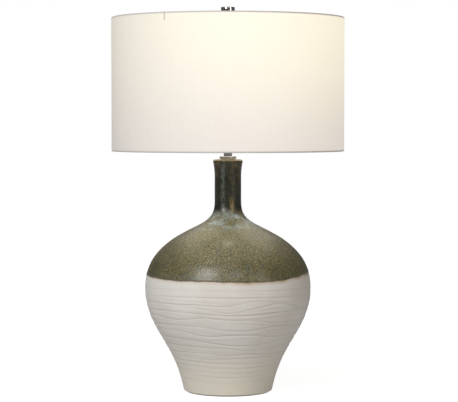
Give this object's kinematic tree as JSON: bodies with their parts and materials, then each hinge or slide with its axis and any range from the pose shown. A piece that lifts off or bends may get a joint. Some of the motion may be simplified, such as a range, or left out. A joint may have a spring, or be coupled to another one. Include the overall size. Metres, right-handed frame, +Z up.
{
  "type": "table lamp",
  "caption": "Glazed ceramic jar table lamp: a screw lampholder with a turn switch, a harp that carries a drum shade, and a plated finial.",
  "frame": {"origin": "centre of the felt foot's underside, on the surface that the lamp stands on", "axes": "+Z up along the rod; -Y is the front, where the switch points; +Y is the back, where the mains outlet is"},
  "size_m": [0.508, 0.508, 0.8407],
  "materials": {
    "felt": "pale grey wool felt",
    "stoneware": "matt, unglazed, with combed waves",
    "glaze": "gloss reactive olive glaze",
    "bush_plastic": "satin nylon",
    "zinc_steel": "zinc plated",
    "nickel": "polished nickel",
    "black_rubber": "matt",
    "insulating_card": "pressed fibre card",
    "porcelain": "white, satin",
    "brass": "bright, unplated",
    "knob_plastic": "black, moulded",
    "bulb_aluminium": "bright rolled",
    "black_glass": "opaque black insulator",
    "solder": "dull solder",
    "opal_glass": "opal, lit from inside",
    "shade_cloth": "cream plain weave, translucent",
    "shade_backing": "translucent styrene sheet",
    "white_wire": "white powder coat"
  },
  "bodies": {
    "lamp": {"felt_foot": "felt", "ceramic_body": "stoneware", "glaze_coat": "glaze", "outlet_bush": "bush_plastic", "base_washer": "zinc_steel", "lock_washer": "zinc_steel", "base_nut": "zinc_steel", "threaded_rod": "zinc_steel", "neck_gasket": "black_rubber", "neck_cap": "nickel", "neck_stem": "nickel", "harp_saddle": "nickel", "saddle_nut": "zinc_steel", "harp": "nickel", "harp_stud": "nickel", "rod_bushing": "bush_plastic", "holder_cap": "nickel", "cap_set_screw": "zinc_steel", "holder_shell": "nickel", "holder_liner": "insulating_card", "holder_core": "porcelain", "holder_screw_shell": "brass", "holder_contact": "brass", "terminal_screws": "brass"},
    "sleeve_left": {"harp_sleeve_left": "nickel"},
    "sleeve_right": {"harp_sleeve_right": "nickel"},
    "switch": {"switch_shaft": "brass", "switch_knob": "knob_plastic"},
    "bulb": {"bulb_contact": "solder", "bulb_insulator": "black_glass", "bulb_cap": "bulb_aluminium", "bulb_glass": "opal_glass"},
    "shade": {"shade_fabric": "shade_cloth", "shade_liner": "shade_backing", "shade_top_ring": "white_wire", "shade_bottom_ring": "white_wire", "spider_arms": "white_wire", "spider_hub": "white_wire"},
    "finial_washer": {"finial_washer": "nickel"},
    "finial": {"finial": "nickel"}
  },
  "joints": [
    {"name": "switch_turn", "type": "hinge", "parent": "lamp", "child": "switch", "pos_m": [0, -0.02, 0.5655], "axis": [0, -1, 0], "continuous": true},
    {"name": "shade_turn", "type": "hinge", "parent": "lamp", "child": "shade", "pos_m": [0, 0, 0.797], "axis": [0, 0, 1], "continuous": true},
    {"name": "finial_rise", "type": "slide", "parent": "lamp", "child": "finial_washer", "axis": [0, 0, 1], "range_m": [0, 0.0142]},
    {"name": "finial_turn", "type": "hinge", "parent": "finial_washer", "child": "finial", "pos_m": [0, 0, 0.81], "axis": [0, 0, 1], "range_deg": [0, 5400]},
    {"name": "bulb_turn", "type": "hinge", "parent": "lamp", "child": "bulb", "pos_m": [0, 0, 0.6], "axis": [0, 0, 1], "range_deg": [0, 1080]},
    {"name": "sleeve_left_lift", "type": "slide", "parent": "lamp", "child": "sleeve_left", "axis": [0, 0, 1], "range_m": [0, 0.012]},
    {"name": "sleeve_right_lift", "type": "slide", "parent": "lamp", "child": "sleeve_right", "axis": [0, 0, 1], "range_m": [0, 0.012]}
  ],
  "couplings": [
    {"joint": "finial_rise", "follows": "finial_turn", "m_per_rad": 0.00014972}
  ]
}
